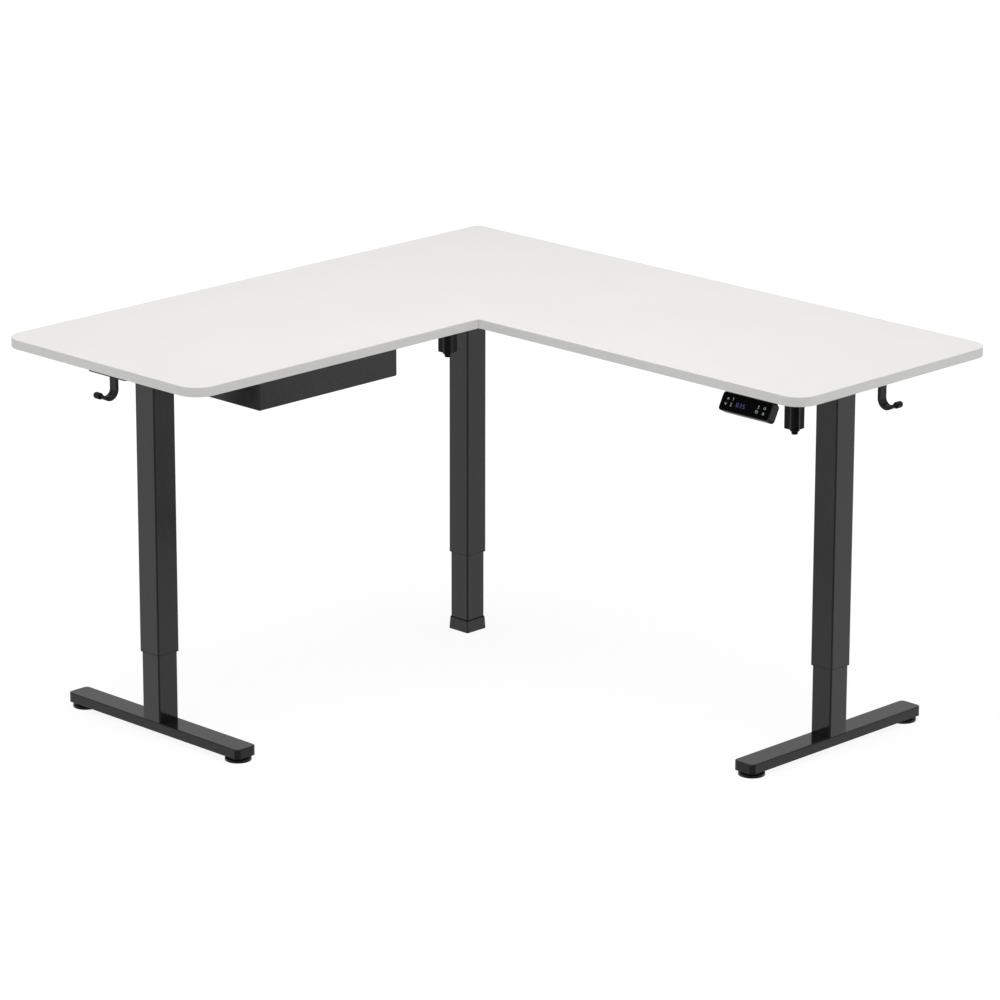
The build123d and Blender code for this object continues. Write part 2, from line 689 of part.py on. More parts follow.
def hook(right, holes):
    """Bent flat-bar hook under a base plate."""
    bend_z = HOOK_LOW_Z + HOOK_T / 2 + HOOK_BEND
    drop = Line((0, UNDER_Z - HOOK_PLATE_T / 2), (0, bend_z))
    bend = CenterArc((HOOK_BEND, bend_z), HOOK_BEND, 180, HOOK_SWEEP)
    arm = Line(bend @ 1, hook_arm_end())
    line = Plane.XZ * (drop + bend + arm)
    strap = sweep(Plane(origin=line @ 0, z_dir=(0, 0, -1), x_dir=(1, 0, 0)) * Rectangle(HOOK_T, HOOK_W), line)
    side = "right" if right else "left"
    plate_x = HOOK_PLATE_OUT[side] - HOOK_PLATE_DEEP / 2
    plate = Pos(plate_x, HOOK_PLATE_SIDE[side], UNDER_Z - HOOK_PLATE_T / 2) * Box(
        HOOK_PLATE_DEEP, HOOK_PLATE_LEN, HOOK_PLATE_T
    )
    plate = fillet(plate.edges().filter_by(Axis.Z), HOOK_PLATE_R)
    cuts = [post(x, y, SCREW_D + HOLE_GAP, UNDER_Z - HOOK_PLATE_T - 1, UNDER_Z + 1) for x, y, seat in holes]
    return hook_place(right) * (plate + strap) - cuts


def hook_tip(right):
    """Rounded plastic tip pushed over the arm's end."""
    reach = HOOK_IN + HOOK_OVER - TIP_R
    end_z = hook_arm_end()[1]
    tip = Rot(90, 0, 0) * Cylinder(TIP_R, TIP_LEN)
    tip = fillet(tip.edges().filter_by(GeomType.CIRCLE), TIP_END_R)
    return hook_place(right) * Pos(reach, 0, end_z + TIP_UP) * tip


# Control box
def control_box(holes):
    """Control box under the top, with motor sockets on one side and the inlet on its end."""
    x1 = BOX_X0 + BOX_LEN
    y1 = BOX_Y0 + BOX_DEEP
    low = UNDER_Z - BOX_H
    box = block(BOX_X0, x1, BOX_Y0, y1, low, UNDER_Z)
    box = fillet(box.edges().filter_by(Axis.Z) + box.faces().sort_by(Axis.Z)[0].edges(), BOX_R)
    box += block(BOX_X0 - EAR_W, x1 + EAR_W, BOX_Y0 + BOX_R, y1 - BOX_R, UNDER_Z - EAR_T, UNDER_Z)
    middle = UNDER_Z - BOX_H / 2
    for index in range(4):
        x = BOX_X0 + BOX_LEN * (index + 1) / 5
        box -= block(
            x - SOCKET_W / 2, x + SOCKET_W / 2, BOX_Y0 - 1, BOX_Y0 + SOCKET_DEEP,
            middle - SOCKET_H / 2, middle + SOCKET_H / 2,
        )
    y = (BOX_Y0 + y1) / 2
    box -= block(
        x1 - SOCKET_DEEP, x1 + 1, y - INLET_W / 2, y + INLET_W / 2, middle - INLET_H / 2, middle + INLET_H / 2
    )
    cuts = [post(x, y, SCREW_D + HOLE_GAP, UNDER_Z - EAR_T - 1, UNDER_Z + 1) for x, y, seat in holes]
    return box - cuts


# Fasteners
def screw(x, y, seat):
    """Wood screw whose head bears on the height seat from below."""
    head = post(x, y, SCREW_HEAD_D, seat - SCREW_HEAD_H, seat)
    head = fillet(head.faces().sort_by(Axis.Z)[0].edges(), SCREW_HEAD_R)
    drive = at(x, y, seat - SCREW_HEAD_H) * extrude(RegularPolygon(SCREW_HEX_R, 6), SCREW_HEX_H)
    return head + post(x, y, SCREW_D, seat, UNDER_Z + SCREW_DEEP) - drive


def bolt(x, y):
    """Socket bolt through a top plate into the lower wall over it."""
    head = post(x, y, BOLT_HEAD_D, PLATE_Z - BOLT_HEAD_H, PLATE_Z)
    head = chamfer(head.faces().sort_by(Axis.Z)[0].edges(), BOLT_HEAD_EDGE)
    drive = at(x, y, PLATE_Z - BOLT_HEAD_H) * extrude(RegularPolygon(BOLT_HEX_R, 6), BOLT_HEX_H)
    return head + post(x, y, BOLT_D, PLATE_Z, PLATE_Z + BOLT_LEN) - drive


# Screw sites: plan point and the height of the face under the head
RAIL_SEAT = UNDER_Z - RAIL_WALL
half_bracket = BRACKET_LEN / 2
bracket_screws = (
    BRACKET_SCREW_EDGE - half_bracket, BRACKET_SCREW_BACK - half_bracket,
    half_bracket - BRACKET_SCREW_FRONT, half_bracket - BRACKET_SCREW_EDGE,
)
left_bracket_screws = [(LEFT_X + d, LEFT_Y, RAIL_SEAT) for d in bracket_screws]
right_bracket_screws = [(RIGHT_X, RIGHT_Y + d, RAIL_SEAT) for d in bracket_screws]
left_rail_screws = [(RAIL_LEFT_X, LEFT_Y + d, RAIL_SEAT) for d in RAIL_LEFT_SCREWS]
right_rail_screws = [(RIGHT_X - d, RIGHT_Y, RAIL_SEAT) for d in RAIL_RIGHT_SCREWS]
join_offsets = [side * d for side in (-1, 1) for d in JOIN_SCREW]
join_screws = [(x, d - WING_DEPTH, UNDER_Z - JOIN_T) for x in JOIN_X for d in join_offsets]
hook_seat = UNDER_Z - HOOK_PLATE_T
hook_screw_in = {side: HOOK_IN - out + HOOK_PLATE_DEEP / 2 for side, out in HOOK_PLATE_OUT.items()}
hook_left_mid = HOOK_LEFT_X + HOOK_PLATE_SIDE["left"]
hook_right_mid = HOOK_RIGHT_Y + HOOK_PLATE_SIDE["right"]
hook_left_screws = [
    (hook_left_mid + s * HOOK_SCREW, hook_screw_in["left"] - WING_LEFT, hook_seat) for s in (-1, 1)
]
hook_right_screws = [
    (WING_RIGHT - hook_screw_in["right"], hook_right_mid + s * HOOK_SCREW, hook_seat) for s in (-1, 1)
]
handset_screw_y = handset_back_y() + HANDSET_SCREW_BACK
handset_screws = [(HANDSET_X + s * HANDSET_SCREW, handset_screw_y, UNDER_Z - FLANGE_PLATE) for s in (-1, 1)]
box_screws = [
    (x, y, UNDER_Z - EAR_T)
    for x in (BOX_X0 - EAR_W / 2, BOX_X0 + BOX_LEN + EAR_W / 2)
    for y in (BOX_Y0 + EAR_SCREW, BOX_Y0 + BOX_DEEP - EAR_SCREW)
]
runner_seat = UNDER_Z - RUNNER_H + RUNNER_SEAT_UP
runner_steps = (RUNNER_SCREW_EDGE, DRAWER_DEPTH / 2, DRAWER_DEPTH - RUNNER_SCREW_EDGE)
runner_left_screws = [(DRAWER_FRONT_X - d, runner_screw_y(DRAWER_Y0, -1), runner_seat) for d in runner_steps]
runner_right_screws = [(DRAWER_FRONT_X - d, runner_screw_y(DRAWER_Y1, 1), runner_seat) for d in runner_steps]
all_screws = (
    left_bracket_screws + right_bracket_screws + left_rail_screws + right_rail_screws + join_screws
    + hook_left_screws + hook_right_screws + handset_screws + box_screws
    + runner_left_screws + runner_right_screws
)


def plate_corners(leg, reach):
    """Plan corners of a top plate from its leg and its four reaches."""
    x, y = LEG_AT[leg]
    return x - reach[0], x + reach[1], y - reach[2], y + reach[3]


# Bolts of the plates into the sections above them
bracket_left_bolts = [
    (LEFT_X + d, LEFT_Y + s * LEFT_BOLT_SIDE) for d in (-LEFT_BOLT_BACK, LEFT_BOLT_FRONT) for s in (-1, 1)
]
bracket_right_bolts = [
    (RIGHT_X + s * RIGHT_BOLT_SIDE, RIGHT_Y + t * RIGHT_BOLT_REACH) for s in (-1, 1) for t in (-1, 1)
]
rail_left_bolts = [(RAIL_LEFT_X + RAIL_BOLT_SIDE, LEFT_Y + RAIL_BOLT_LEFT)]
rail_left_bolts += [
    (RAIL_LEFT_X + s * RAIL_BOLT_SIDE, CORNER_Y + d)
    for s in (-1, 1)
    for d in (-CORNER_BOLT_LOW, CORNER_BOLT_HIGH)
]
rail_right_bolts = [(RIGHT_X - RAIL_BOLT_RIGHT, RIGHT_Y + s * RAIL_BOLT_SPREAD) for s in (-1, 1)]
rail_right_bolts += [(CORNER_X + CORNER_BOLT_REACH, RIGHT_Y + s * CORNER_BOLT_SPREAD) for s in (-1, 1)]
all_bolts = bracket_left_bolts + bracket_right_bolts + rail_left_bolts + rail_right_bolts

# Worktop nodes
save("board_right", board(True, all_screws))
save("board_left", board(False, all_screws))
save("edge_band_right", edge_band(True))
save("edge_band_left", edge_band(False))
joins = []
for join_x in JOIN_X:
    bar = block(
        join_x - JOIN_W / 2, join_x + JOIN_W / 2, -WING_DEPTH - JOIN_LEN / 2, -WING_DEPTH + JOIN_LEN / 2,
        UNDER_Z - JOIN_T, UNDER_Z,
    )
    bar = fillet(bar.edges().filter_by(Axis.Z), JOIN_R)
    drills = [
        post(x, y, SCREW_D + HOLE_GAP, UNDER_Z - JOIN_T - 1, UNDER_Z + 1)
        for x, y, seat in join_screws if x == join_x
    ]
    joins.append(bar - drills)
save("joining_plates", group(joins))

# Frame nodes
half_rail = RAIL_W / 2
rail = box_section(
    RAIL_LEFT_X - half_rail, RAIL_LEFT_X + half_rail, LEFT_Y + BRACKET_W / 2, RAIL_LEFT_END_Y, False
)
save("rail_left", bolt_holes(rail_left_bolts, drilled_section(rail, left_rail_screws)))
rail = box_section(
    RAIL_LEFT_X + half_rail, RIGHT_X - BRACKET_W / 2, RIGHT_Y - half_rail, RIGHT_Y + half_rail, True
)
save("rail_right", bolt_holes(rail_right_bolts, drilled_section(rail, right_rail_screws)))
bracket = drilled_section(side_bracket(LEFT_X, LEFT_Y, True), left_bracket_screws)
save("side_bracket_left", bolt_holes(bracket_left_bolts, bracket))
bracket = drilled_section(side_bracket(RIGHT_X, RIGHT_Y, False), right_bracket_screws)
save("side_bracket_right", bolt_holes(bracket_right_bolts, bracket))
save("top_plate_left", top_plate(*plate_corners("left", PLATE_LEFT_REACH), all_bolts))
save("top_plate_corner", top_plate(*plate_corners("corner", PLATE_CORNER_REACH), all_bolts))
save("top_plate_right", top_plate(*plate_corners("right", PLATE_RIGHT_REACH), all_bolts))
save("screws_top", group(screw(*site) for site in all_screws))
save("bolts_frame", group(bolt(*site) for site in all_bolts))

# Leg nodes
for leg, (leg_x, leg_y) in LEG_AT.items():
    turn = math.radians(DRIVE_TURN[leg])
    here = at(leg_x, leg_y)
    idler_here = at(leg_x + IDLER_AT * math.cos(turn), leg_y + IDLER_AT * math.sin(turn))
    motor_here = at(leg_x + MOTOR_AT * math.cos(turn), leg_y + MOTOR_AT * math.sin(turn))
    inner_z = CAP_FLOOR if leg == "corner" else BAR_TOP_Z
    save(f"outer_tube_{leg}", here * square_tube(OUTER_TUBE, OUTER_END_Z, HOUSING_Z))
    save(f"guide_bush_{leg}", here * guide_bush())
    save(f"inner_tube_{leg}", here * square_tube(INNER_TUBE, inner_z, INNER_END_Z))
    save(f"drive_nut_{leg}", here * drive_nut())
    save(f"gear_housing_{leg}", here * Rot(0, 0, DRIVE_TURN[leg]) * gear_housing())
    save(f"motor_{leg}", motor_here * motor())
    save(f"pinion_{leg}", motor_here * pinion(turn))
    save(f"idler_{leg}", idler_here * idler(turn))
    save(f"spindle_{leg}", here * spindle(turn))

# Foot nodes
save("foot_bar_left", at(LEFT_X, LEFT_Y) * foot_bar())
save("foot_bar_right", at(RIGHT_X, RIGHT_Y) * Rot(0, 0, 90) * foot_bar())
save("level_foot_left_back", at(LEFT_X - PAD_OFFSET, LEFT_Y) * level_foot())
save("level_foot_left_front", at(LEFT_X + PAD_OFFSET, LEFT_Y) * level_foot())
save("level_foot_right_back", at(RIGHT_X, RIGHT_Y + PAD_OFFSET) * level_foot())
save("level_foot_right_front", at(RIGHT_X, RIGHT_Y - PAD_OFFSET) * level_foot())
save("corner_foot", at(CORNER_X, CORNER_Y) * corner_foot())

# Things held under the top
counterbores = [
    post(x, y, SCREW_HEAD_D + 2 * RUN_GAP, UNDER_Z - RUNNER_H - 1, seat)
    for x, y, seat in runner_left_screws + runner_right_screws
]
counterbores += [
    post(x, y, SCREW_D + HOLE_GAP, UNDER_Z - RUNNER_H - 1, UNDER_Z + 1)
    for x, y, seat in runner_left_screws + runner_right_screws
]
save("drawer_tray", drawer_tray())
save("drawer_runner_left", drawer_runner(DRAWER_Y0, -1) - counterbores)
save("drawer_runner_right", drawer_runner(DRAWER_Y1, 1) - counterbores)
save("handset_case", handset_case(handset_screws))
save("handset_face", handset_face())
save("control_box", control_box(box_screws))
for side, screws in (("left", hook_left_screws), ("right", hook_right_screws)):
    tip = hook_tip(side == "right")
    strap = hook(side == "right", screws)
    save(f"hook_{side}", strap)
    save(f"hook_tip_{side}", tip - strap)
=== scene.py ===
"""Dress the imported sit-stand desk: a finish for every CAD node, the touch pane's marks, studio and camera."""
import logging
import math
from dataclasses import dataclass, field
from enum import Enum
from typing import ClassVar, Iterable

import bpy
import numpy as np
from mathutils import Matrix, Vector


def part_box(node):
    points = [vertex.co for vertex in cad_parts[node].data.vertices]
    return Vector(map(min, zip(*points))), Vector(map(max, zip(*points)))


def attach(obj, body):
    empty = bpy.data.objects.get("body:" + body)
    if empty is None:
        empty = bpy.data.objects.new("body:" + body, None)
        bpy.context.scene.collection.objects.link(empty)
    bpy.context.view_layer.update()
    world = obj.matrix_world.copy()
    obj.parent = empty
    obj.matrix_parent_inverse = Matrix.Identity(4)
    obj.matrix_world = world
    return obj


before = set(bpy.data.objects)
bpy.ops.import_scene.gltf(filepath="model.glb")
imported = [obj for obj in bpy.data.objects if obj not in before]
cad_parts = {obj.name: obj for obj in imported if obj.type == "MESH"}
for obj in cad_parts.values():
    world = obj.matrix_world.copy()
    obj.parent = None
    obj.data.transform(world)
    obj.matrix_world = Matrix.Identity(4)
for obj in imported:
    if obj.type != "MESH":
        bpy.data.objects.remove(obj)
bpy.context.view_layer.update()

LOG = logging.getLogger("desk")
MM = 0.001

Tree = bpy.types.NodeTree
Socket = bpy.types.NodeSocket
Value = bpy.types.NodeSocket | float
Span = tuple[float, float]
Triple = tuple[float, float, float]
Shape = tuple[np.ndarray, np.ndarray]


class LegName(Enum):
    """The three telescopic legs."""

    LEFT = "left"
    CORNER = "corner"
    RIGHT = "right"


class Body(Enum):
    """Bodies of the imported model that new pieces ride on."""

    TOP = "top"
    CORNER_FOOT = "corner_base"


# Shader helpers


def link(tree: Tree, out: Socket, into: Socket) -> None:
    """Join two sockets of one tree."""
    tree.links.new(out, into)


def feed(tree: Tree, value: Value, into: Socket) -> None:
    """Give an input its value.

    Args:
        tree: Tree that holds the input.
        value: A number to set, or a socket to link.
        into: The input.
    """
    if isinstance(value, bpy.types.NodeSocket):
        link(tree, value, into)
    else:
        into.default_value = value


def add_node(tree: Tree, kind: str, **values: object) -> bpy.types.Node:
    """Add a node and set its properties.

    Args:
        tree: Tree that gets the node.
        kind: Type name of the node.
        values: Node properties by name.

    Returns:
        The new node.
    """
    node = tree.nodes.new(kind)
    for name, value in values.items():
        setattr(node, name, value)
    return node


def noise(tree: Tree, place: Socket, scale: Value, octaves: float) -> Socket:
    """Noise value on a place.

    Args:
        tree: Tree that gets the node.
        place: Vector socket with the coordinates.
        scale: A number, or a socket that holds it.
        octaves: Number of octaves.

    Returns:
        The noise's value socket, 0 to 1.
    """
    node = add_node(tree, "ShaderNodeTexNoise")
    link(tree, place, node.inputs["Vector"])
    feed(tree, scale, node.inputs["Scale"])
    feed(tree, octaves, node.inputs["Detail"])
    return node.outputs["Fac"]


def remap(tree: Tree, value: Socket, span: Span, bounds: tuple[Value, Value]) -> Socket:
    """Map a value from one range to another.

    Args:
        tree: Tree that gets the node.
        value: Socket to map.
        span: Start and end of the range read.
        bounds: Numbers or sockets given at its start and at its end.

    Returns:
        The mapped value's socket.
    """
    node = add_node(tree, "ShaderNodeMapRange")
    link(tree, value, node.inputs["Value"])
    for name, number in zip(("From Min", "From Max", "To Min", "To Max"), (*span, *bounds)):
        feed(tree, number, node.inputs[name])
    return node.outputs["Result"]


def combine(tree: Tree, how: str, first: Value, second: Value) -> Socket:
    """Arithmetic on two values.

    Args:
        tree: Tree that gets the node.
        how: Operation of the Math node.
        first: Number or socket.
        second: Number or socket.

    Returns:
        The result's socket.
    """
    node = add_node(tree, "ShaderNodeMath", operation=how)
    feed(tree, first, node.inputs[0])
    feed(tree, second, node.inputs[1])
    return node.outputs[0]


def weigh(tree: Tree, first: Socket, second: Socket, share: float) -> Socket:
    """Sum of two values, the first times its share and the second times the rest.

    Args:
        tree: Tree that gets the nodes.
        first: Value with the share.
        second: Value with the rest.
        share: The first value's share, 0 to 1.

    Returns:
        The sum's socket.
    """
    most = combine(tree, "MULTIPLY", first, share)
    rest = combine(tree, "MULTIPLY", second, 1.0 - share)
    return combine(tree, "ADD", most, rest)


def colour_between(tree: Tree, dark: Triple, light: Triple, mask: Socket) -> Socket:
    """Colour that a mask takes between two colours.

    Args:
        tree: Tree that gets the node.
        dark: Colour where the mask is nought.
        light: Colour where the mask is one.
        mask: Socket that holds the mask.

    Returns:
        The colour's socket.
    """
    mix = add_node(tree, "ShaderNodeMix", data_type="RGBA")
    mix.inputs["A"].default_value = (*dark, 1.0)
    mix.inputs["B"].default_value = (*light, 1.0)
    link(tree, mask, mix.inputs["Factor"])
    return mix.outputs["Result"]


def object_place(tree: Tree) -> Socket:
    """Object coordinates of the surface."""
    return add_node(tree, "ShaderNodeTexCoord").outputs["Object"]


def new_material(name: str) -> tuple[bpy.types.Material, Tree, bpy.types.Node]:
    """Start a material.

    Args:
        name: Material name.

    Returns:
        The material, its node tree and the tree's main shader.
    """
    made = bpy.data.materials.new(name)
    made.use_nodes = True
    return made, made.node_tree, made.node_tree.nodes["Principled BSDF"]


# Finishes


@dataclass(frozen=True)
class Grain:
    """Surface grain that every finish shares: fine noise, a broader orange peel and slow patches."""

    name: str = "surface_grain"
    fine_octaves: float = 2.0
    broad_octaves: float = 3.0
    slow_octaves: float = 4.0
    slow_scale: float = 7.0
    fine_share: float = 0.6
    slow_share: float = 0.7

    def group(self) -> Tree:
        """Build the grain's node group, or give the one already built.

        Height is fine noise plus the orange peel; Tone is slow variation for colour and roughness.

        Returns:
            The node group, with inputs Place, Fine and Broad and outputs Height and Tone.
        """
        found = bpy.data.node_groups.get(self.name)
        if found:
            return found
        group = bpy.data.node_groups.new(self.name, "ShaderNodeTree")
        face = group.interface
        face.new_socket("Place", in_out="INPUT", socket_type="NodeSocketVector")
        for name in ("Fine", "Broad"):
            face.new_socket(name, in_out="INPUT", socket_type="NodeSocketFloat")
        for name in ("Height", "Tone"):
            face.new_socket(name, in_out="OUTPUT", socket_type="NodeSocketFloat")
        into = add_node(group, "NodeGroupInput")
        out = add_node(group, "NodeGroupOutput")
        place = into.outputs["Place"]
        fine = noise(group, place, into.outputs["Fine"], self.fine_octaves)
        broad = noise(group, place, into.outputs["Broad"], self.broad_octaves)
        slow = noise(group, place, self.slow_scale, self.slow_octaves)
        link(group, weigh(group, fine, broad, self.fine_share), out.inputs["Height"])
        link(group, weigh(group, slow, broad, self.slow_share), out.inputs["Tone"])
        return group


@dataclass(frozen=True)
class Finish:
    """A surface finish with grain: colours are linear, scales are per metre, depth and edge are in metres."""

    grain: ClassVar[Grain] = Grain()
    tone_span: ClassVar[Span] = (0.35, 0.65)
    rough_span: ClassVar[Span] = (0.3, 0.7)
    edge_samples: ClassVar[int] = 4

    name: str
    dark: Triple
    light: Triple
    rough: Span
    fine: float
    broad: float
    depth: float
    metallic: float = 0.0
    edge: float = 0.0
    specular: float = 0.5

    def material(self) -> bpy.types.Material:
        """Build the finish's material, or give the one already built.

        Returns:
            A material on Object coordinates with grain in colour, roughness and bump.
        """
        found = bpy.data.materials.get(self.name)
        if found:
            return found
        made, tree, shader = new_material(self.name)
        shader.inputs["Metallic"].default_value = self.metallic
        shader.inputs["Specular IOR Level"].default_value = self.specular
        place = self.place(tree)
        grain = add_node(tree, "ShaderNodeGroup", node_tree=self.grain.group())
        link(tree, place, grain.inputs["Place"])
        grain.inputs["Fine"].default_value = self.fine
        grain.inputs["Broad"].default_value = self.broad
        tone = remap(tree, grain.outputs["Tone"], self.tone_span, (0.0, 1.0))
        link(tree, colour_between(tree, self.dark, self.light, tone), shader.inputs["Base Color"])
        link(tree, remap(tree, tone, self.rough_span, self.rough), shader.inputs["Roughness"])
        height = self.height(tree, place, grain.outputs["Height"])
        link(tree, self.normal(tree, height), shader.inputs["Normal"])
        return made

    def normal(self, tree: Tree, height: Socket) -> Socket:
        """Normal with the grain's bump, and with softened edges where the finish has them.

        Args:
            tree: The material's tree.
            height: Height that the bump reads.

        Returns:
            The normal's socket.
        """
        bump = add_node(tree, "ShaderNodeBump")
        bump.inputs["Strength"].default_value = 1.0
        bump.inputs["Distance"].default_value = self.depth
        link(tree, height, bump.inputs["Height"])
        if self.edge:
            bevel = add_node(tree, "ShaderNodeBevel", samples=self.edge_samples)
            bevel.inputs["Radius"].default_value = self.edge
            link(tree, bevel.outputs["Normal"], bump.inputs["Normal"])
        return bump.outputs["Normal"]

    def place(self, tree: Tree) -> Socket:
        """Coordinates that the grain reads."""
        return object_place(tree)

    def height(self, tree: Tree, place: Socket, grain: Socket) -> Socket:
        """Height that the bump reads: here the grain's own."""
        return grain


@dataclass(frozen=True)
class Drawn(Finish):
    """Metal drawn or ground along one direction: stretch gives the grain's scale along x, y and z."""

    stretch: Triple = (1.0, 1.0, 0.05)

    def place(self, tree: Tree) -> Socket:
        """Object coordinates squeezed along the drawing direction.

        Args:
            tree: The material's tree.

        Returns:
            The coordinates' socket.
        """
        mapping = add_node(tree, "ShaderNodeMapping")
        mapping.inputs["Scale"].default_value = self.stretch
        link(tree, super().place(tree), mapping.inputs["Vector"])
        return mapping.outputs["Vector"]


@dataclass(frozen=True)
class Threaded(Finish):
    """Steel screw: the height adds a wave along z, at the thread's pitch in metres, that swings by ridge."""

    pitch: float = 0.005
    ridge: float = 6.0

    def height(self, tree: Tree, place: Socket, grain: Socket) -> Socket:
        """Grain plus a sine ridge along z.

        Args:
            tree: The material's tree.
            place: Coordinates of the surface.
            grain: The grain's height.

        Returns:
            The height's socket.
        """
        split = add_node(tree, "ShaderNodeSeparateXYZ")
        link(tree, place, split.inputs["Vector"])
        turns = combine(tree, "MULTIPLY", split.outputs["Z"], 2 * math.pi / self.pitch)
        wave = combine(tree, "SINE", turns, 0.0)
        return combine(tree, "ADD", combine(tree, "MULTIPLY", wave, self.ridge), grain)


@dataclass(frozen=True)
class Lit:
    """A mark on the touch pane that glows evenly, with a faint print texture."""

    dim_share: ClassVar[float] = 0.8
    roughness: ClassVar[float] = 0.4
    print_scale: ClassVar[float] = 900.0
    print_octaves: ClassVar[float] = 2.0

    name: str
    colour: Triple
    strength: float

    def material(self) -> bpy.types.Material:
        """Build the mark's material, or give the one already built.

        Returns:
            A dim emitting material whose colour varies slightly with fine noise.
        """
        found = bpy.data.materials.get(self.name)
        if found:
            return found
        made, tree, shader = new_material(self.name)
        shader.inputs["Roughness"].default_value = self.roughness
        shader.inputs["Emission Strength"].default_value = self.strength
        dots = noise(tree, object_place(tree), self.print_scale, self.print_octaves)
        dim = tuple(self.dim_share * part for part in self.colour)
        colour = colour_between(tree, dim, self.colour, dots)
        link(tree, colour, shader.inputs["Base Color"])
        link(tree, colour, shader.inputs["Emission Color"])
        return made


def grey(level: float) -> Triple:
    """Neutral colour of a level."""
    return (level, level, level)


LAMINATE = Finish(
    "worktop_laminate", (0.892, 0.884, 0.868), (0.906, 0.898, 0.882), rough=(0.42, 0.5),
    fine=2600.0, broad=420.0, depth=0.00003,
)
BAND = Finish(
    "edge_band_white", (0.785, 0.78, 0.762), (0.815, 0.81, 0.792), rough=(0.45, 0.55),
    fine=1800.0, broad=260.0, depth=0.00004,
)
COAT = Finish(
    "black_powder_coat", grey(0.009), grey(0.012), rough=(0.20, 0.26),
    fine=1900.0, broad=520.0, depth=0.000012, edge=0.0010, specular=0.58,
)
INNER = Finish(
    "inner_tube_coat", grey(0.009), grey(0.012), rough=(0.10, 0.15),
    fine=2100.0, broad=560.0, depth=0.000010, edge=0.0010, specular=0.58,
)
PRESSED = Finish(
    "pressed_coat", grey(0.010), grey(0.013), rough=(0.12, 0.18),
    fine=1700.0, broad=480.0, depth=0.000012, edge=0.0036, specular=0.34,
)
FOLDED = Finish(
    "folded_sheet_coat", grey(0.019), grey(0.024), rough=(0.24, 0.31),
    fine=1800.0, broad=500.0, depth=0.00002, edge=0.0006,
)
HOOK = Finish(
    "hook_coat", grey(0.005), grey(0.008), rough=(0.2, 0.28),
    fine=1900.0, broad=600.0, depth=0.00003, edge=0.0006, specular=0.3,
)
MOTOR = Finish(
    "motor_paint", grey(0.006), grey(0.010), rough=(0.38, 0.5),
    fine=1500.0, broad=600.0, depth=0.00005, edge=0.0006, specular=0.15,
)
MOULDED = Finish(
    "moulded_black", grey(0.010), grey(0.015), rough=(0.45, 0.58),
    fine=2400.0, broad=900.0, depth=0.00004, edge=0.0005,
)
PAD = Finish(
    "pad_plastic", grey(0.006), grey(0.010), rough=(0.32, 0.42),
    fine=2400.0, broad=900.0, depth=0.00004, edge=0.0008, specular=0.4,
)
CAP = Finish(
    "cap_rubber", grey(0.030), grey(0.037), rough=(0.36, 0.46),
    fine=2200.0, broad=800.0, depth=0.00006, edge=0.0006,
)
SATIN = Finish(
    "satin_plastic", grey(0.010), grey(0.014), rough=(0.26, 0.34),
    fine=2600.0, broad=900.0, depth=0.00003, edge=0.0006, specular=0.22,
)
# Near-black, nearly unreflective finish: painted shade for the dark line where the corner leg's tube enters its
# cap
SHADE_RING = Finish(
    "painted_shade_ring", grey(0.0015), grey(0.003), rough=(0.6, 0.7),
    fine=2000.0, broad=700.0, depth=0.00004, specular=0.05,
)
TIP = Finish(
    "soft_tip", grey(0.006), grey(0.010), rough=(0.35, 0.45),
    fine=2200.0, broad=800.0, depth=0.00004, specular=0.2,
)
PANE = Finish(
    "touch_pane_black", grey(0.0012), grey(0.0018), rough=(0.12, 0.16),
    fine=900.0, broad=90.0, depth=0.000004, specular=0.03,
)
ZINC = Finish(
    "zinc_plate", (0.42, 0.43, 0.45), (0.56, 0.56, 0.55), rough=(0.3, 0.45),
    fine=900.0, broad=160.0, depth=0.00003, metallic=1.0,
)
SCREW = Threaded(
    "lifting_screw", grey(0.38), (0.5, 0.5, 0.49), rough=(0.22, 0.34),
    fine=1200.0, broad=200.0, depth=0.00012, metallic=1.0,
)
GEAR = Drawn(
    "cut_gear", grey(0.36), (0.48, 0.48, 0.47), rough=(0.25, 0.38),
    fine=1400.0, broad=300.0, depth=0.00003, metallic=1.0,
)
IDLER = Finish(
    "idler_nylon", (0.68, 0.65, 0.55), (0.75, 0.72, 0.62), rough=(0.4, 0.5),
    fine=1600.0, broad=300.0, depth=0.00004,
)
RUNNER = Drawn(
    "black_runner", (0.02, 0.02, 0.021), (0.03, 0.03, 0.031), rough=(0.3, 0.4),
    fine=1400.0, broad=260.0, depth=0.00003, metallic=0.4, stretch=(0.05, 1.0, 1.0),
)
ICON = Lit("icon_print", (0.36, 0.38, 0.4), 0.25)
DIGIT = Lit("display_digit", (0.1, 0.11, 0.3), 0.25)


def dress(nodes: Iterable[str], finish: Finish) -> None:
    """Give CAD nodes a finish.

    Args:
        nodes: Names of the nodes.
        finish: Finish that they take.
    """
    made = finish.material()
    for name in nodes:
        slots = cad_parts[name].data.materials
        slots.clear()
        slots.append(made)
        LOG.info("%s takes %s", name, finish.name)


# Mesh helpers

TINY = 1e-12
LEAST_MITRE = 0.4
CORNER_STEPS = 9
QUARTER = 90.0
FULL_TURN = 360.0


def make_piece(
    name: str, points: np.ndarray, quads: np.ndarray, finish: Finish | Lit, body: Body
) -> bpy.types.Object:
    """Make a mesh piece that rides on a body.

    Args:
        name: Piece name.
        points: Vertex places in metres, one row each.
        quads: Vertex indices, four to a row, seen anticlockwise from outside.
        finish: Finish of the whole piece.
        body: Body that it rides on.

    Returns:
        The new object, at the origin.
    """
    mesh = bpy.data.meshes.new(name)
    mesh.from_pydata(points.tolist(), [], quads.tolist())
    mesh.materials.append(finish.material())
    mesh.update()
    piece = bpy.data.objects.new(name, mesh)
    bpy.context.scene.collection.objects.link(piece)
    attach(piece, body.value)
    LOG.info("%s made, %d faces", name, len(quads))
    return piece


def unit(rows: np.ndarray) -> np.ndarray:
    """Rows divided by their lengths."""
    return rows / np.maximum(np.linalg.norm(rows, axis=1, keepdims=True), TINY)


